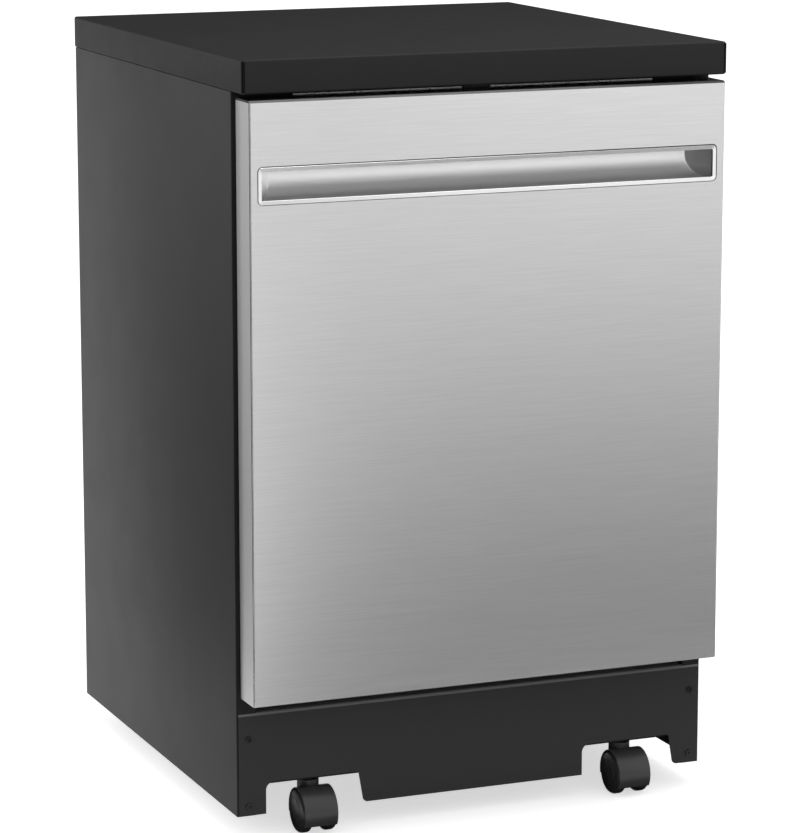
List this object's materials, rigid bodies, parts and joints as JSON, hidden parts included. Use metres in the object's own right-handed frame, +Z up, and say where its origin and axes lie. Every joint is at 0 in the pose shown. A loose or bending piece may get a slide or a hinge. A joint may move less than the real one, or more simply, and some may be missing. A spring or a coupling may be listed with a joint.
{
  "type": "portable dishwasher",
  "caption": "Portable front-loading dishwasher on twin-wheel casters, with a dark worktop, a brushed steel door with a recessed pocket handle, and pull-out racks.",
  "frame": {"origin": "on the floor, under the middle of the bounding box with the door shut", "axes": "+Z up, the door faces -Y, +X to the right as seen from the front"},
  "size_m": [0.61, 0.6384, 0.9244],
  "materials": {
    "worktop_laminate": "dark laminate, fine matt grain",
    "cabinet_paint": "satin dark grey paint",
    "frame_paint": "dark primer",
    "bright_steel": "bright strip",
    "screw_black": "black oxide",
    "stainless": "horizontally brushed",
    "pocket_metal": "satin plated",
    "tub_plastic": "moulded polypropylene",
    "gasket_rubber": "soft matt",
    "outlet_plastic": "moulded",
    "sump_plastic": "moulded",
    "filter_mesh": "fine mesh",
    "pump_body": "cast",
    "heater_steel": "heat-darkened",
    "valve_plastic": "moulded",
    "hose_rubber": "moulded",
    "rail_steel": "rolled",
    "bracket_steel": "zinc plated",
    "latch_dark": "moulded",
    "feed_plastic": "moulded",
    "strip_plastic": "moulded",
    "button_plastic": "moulded",
    "board_green": "laminate",
    "lens_clear": "clear lens",
    "dispenser_plastic": "moulded",
    "cap_blue": "moulded",
    "rack_nylon": "nylon-coated wire",
    "roller_plastic": "moulded",
    "basket_plastic": "moulded",
    "arm_plastic": "moulded",
    "caster_nylon": "moulded nylon",
    "wheel_nylon": "moulded nylon"
  },
  "bodies": {
    "cabinet": {"worktop": "worktop_laminate", "worktop_frame": "frame_paint", "trim_strips": "bright_steel", "side_panel_left": "cabinet_paint", "side_panel_right": "cabinet_paint", "rear_panel": "cabinet_paint", "rear_outlets": "outlet_plastic", "toe_kick": "cabinet_paint", "toe_kick_screws": "screw_black", "base_frame": "frame_paint", "tub": "tub_plastic", "tub_gasket": "gasket_rubber", "sump": "sump_plastic", "filters": "filter_mesh", "circulation_pump": "pump_body", "drain_pump": "pump_body", "heating_element": "heater_steel", "inlet_valve": "valve_plastic", "internal_hoses": "hose_rubber", "float_switch": "valve_plastic", "rack_rails": "rail_steel", "latch_strike": "latch_dark", "hinge_brackets": "bracket_steel", "hinge_springs": "bracket_steel", "feed_tube": "feed_plastic"},
    "door": {"door_panel": "stainless", "handle_pocket": "pocket_metal", "door_liner": "tub_plastic", "control_strip": "strip_plastic", "control_board": "board_green", "dispenser_body": "dispenser_plastic", "door_latch": "latch_dark", "hinge_arms": "bracket_steel", "indicator_lenses": "lens_clear"},
    "upper_rack": {"upper_rack": "rack_nylon", "spray_manifold": "arm_plastic"},
    "lower_rack": {"lower_rack": "rack_nylon", "rack_rollers": "roller_plastic", "silverware_basket": "basket_plastic"},
    "upper_spray_arm": {"upper_spray_arm": "arm_plastic"},
    "lower_spray_arm": {"lower_spray_arm": "arm_plastic"},
    "float": {"float": "valve_plastic"},
    "dispenser_lid": {"dispenser_lid": "dispenser_plastic"},
    "rinse_aid_cap": {"rinse_aid_cap": "cap_blue"},
    "button_1": {"button_1": "button_plastic"},
    "button_2": {"button_2": "button_plastic"},
    "button_3": {"button_3": "button_plastic"},
    "button_4": {"button_4": "button_plastic"},
    "caster_front_left": {"caster_front_left": "caster_nylon"},
    "wheel_front_left_outer": {"wheel_front_left_outer": "wheel_nylon"},
    "wheel_front_left_inner": {"wheel_front_left_inner": "wheel_nylon"},
    "caster_front_right": {"caster_front_right": "caster_nylon"},
    "wheel_front_right_outer": {"wheel_front_right_outer": "wheel_nylon"},
    "wheel_front_right_inner": {"wheel_front_right_inner": "wheel_nylon"},
    "caster_rear_left": {"caster_rear_left": "caster_nylon"},
    "wheel_rear_left_outer": {"wheel_rear_left_outer": "wheel_nylon"},
    "wheel_rear_left_inner": {"wheel_rear_left_inner": "wheel_nylon"},
    "caster_rear_right": {"caster_rear_right": "caster_nylon"},
    "wheel_rear_right_outer": {"wheel_rear_right_outer": "wheel_nylon"},
    "wheel_rear_right_inner": {"wheel_rear_right_inner": "wheel_nylon"}
  },
  "joints": [
    {"name": "door_hinge", "type": "hinge", "parent": "cabinet", "child": "door", "pos_m": [0, -0.29175, 0.183], "axis": [1, 0, 0], "range_deg": [0, 90], "stiffness_Nm_per_rad": 15, "springref_deg": -5.73},
    {"name": "upper_rack_slide", "type": "slide", "parent": "cabinet", "child": "upper_rack", "axis": [0, -1, 0], "range_m": [0, 0.4]},
    {"name": "lower_rack_slide", "type": "slide", "parent": "cabinet", "child": "lower_rack", "axis": [0, -1, 0], "range_m": [0, 0.15]},
    {"name": "lower_arm_spin", "type": "hinge", "parent": "cabinet", "child": "lower_spray_arm", "pos_m": [0, 0.00825, 0.221], "axis": [0, 0, 1], "continuous": true},
    {"name": "upper_arm_spin", "type": "hinge", "parent": "upper_rack", "child": "upper_spray_arm", "pos_m": [0, 0.00825, 0.515], "axis": [0, 0, 1], "continuous": true},
    {"name": "float_lift", "type": "slide", "parent": "cabinet", "child": "float", "axis": [0, 0, 1], "range_m": [0, 0.008]},
    {"name": "dispenser_lid_hinge", "type": "hinge", "parent": "door", "child": "dispenser_lid", "pos_m": [-0.035, -0.25795, 0.404], "axis": [-1, 0, 0], "range_deg": [0, 90]},
    {"name": "rinse_aid_cap_turn", "type": "hinge", "parent": "door", "child": "rinse_aid_cap", "pos_m": [0.055, -0.25795, 0.454], "axis": [0, 1, 0], "range_deg": [0, 90]},
    {"name": "button_1_press", "type": "slide", "parent": "door", "child": "button_1", "axis": [0, 0, -1], "range_m": [0, 0.0012], "stiffness_N_per_m": 400},
    {"name": "button_2_press", "type": "slide", "parent": "door", "child": "button_2", "axis": [0, 0, -1], "range_m": [0, 0.0012], "stiffness_N_per_m": 400},
    {"name": "button_3_press", "type": "slide", "parent": "door", "child": "button_3", "axis": [0, 0, -1], "range_m": [0, 0.0012], "stiffness_N_per_m": 400},
    {"name": "button_4_press", "type": "slide", "parent": "door", "child": "button_4", "axis": [0, 0, -1], "range_m": [0, 0.0012], "stiffness_N_per_m": 400},
    {"name": "swivel_front_left", "type": "hinge", "parent": "cabinet", "child": "caster_front_left", "pos_m": [-0.2057, -0.24715, 0.069], "axis": [0, 0, 1], "continuous": true},
    {"name": "roll_front_left_outer", "type": "hinge", "parent": "caster_front_left", "child": "wheel_front_left_outer", "pos_m": [-0.2057, -0.26545, 0.0262], "axis": [1, 0, 0], "continuous": true},
    {"name": "roll_front_left_inner", "type": "hinge", "parent": "caster_front_left", "child": "wheel_front_left_inner", "pos_m": [-0.2057, -0.26545, 0.0262], "axis": [1, 0, 0], "continuous": true},
    {"name": "swivel_front_right", "type": "hinge", "parent": "cabinet", "child": "caster_front_right", "pos_m": [0.2057, -0.24715, 0.069], "axis": [0, 0, 1], "continuous": true},
    {"name": "roll_front_right_outer", "type": "hinge", "parent": "caster_front_right", "child": "wheel_front_right_outer", "pos_m": [0.2057, -0.26545, 0.0262], "axis": [1, 0, 0], "continuous": true},
    {"name": "roll_front_right_inner", "type": "hinge", "parent": "caster_front_right", "child": "wheel_front_right_inner", "pos_m": [0.2057, -0.26545, 0.0262], "axis": [1, 0, 0], "continuous": true},
    {"name": "swivel_rear_left", "type": "hinge", "parent": "cabinet", "child": "caster_rear_left", "pos_m": [-0.2057, 0.25625, 0.069], "axis": [0, 0, 1], "continuous": true},
    {"name": "roll_rear_left_outer", "type": "hinge", "parent": "caster_rear_left", "child": "wheel_rear_left_outer", "pos_m": [-0.2057, 0.23795, 0.0262], "axis": [1, 0, 0], "continuous": true},
    {"name": "roll_rear_left_inner", "type": "hinge", "parent": "caster_rear_left", "child": "wheel_rear_left_inner", "pos_m": [-0.2057, 0.23795, 0.0262], "axis": [1, 0, 0], "continuous": true},
    {"name": "swivel_rear_right", "type": "hinge", "parent": "cabinet", "child": "caster_rear_right", "pos_m": [0.2057, 0.25625, 0.069], "axis": [0, 0, 1], "continuous": true},
    {"name": "roll_rear_right_outer", "type": "hinge", "parent": "caster_rear_right", "child": "wheel_rear_right_outer", "pos_m": [0.2057, 0.23795, 0.0262], "axis": [1, 0, 0], "continuous": true},
    {"name": "roll_rear_right_inner", "type": "hinge", "parent": "caster_rear_right", "child": "wheel_rear_right_inner", "pos_m": [0.2057, 0.23795, 0.0262], "axis": [1, 0, 0], "continuous": true}
  ],
  "couplings": [
    {"joint": "upper_rack_slide", "follows": "door_hinge", "m_per_rad": 0.25},
    {"joint": "lower_rack_slide", "follows": "door_hinge", "m_per_rad": 0.092}
  ]
}
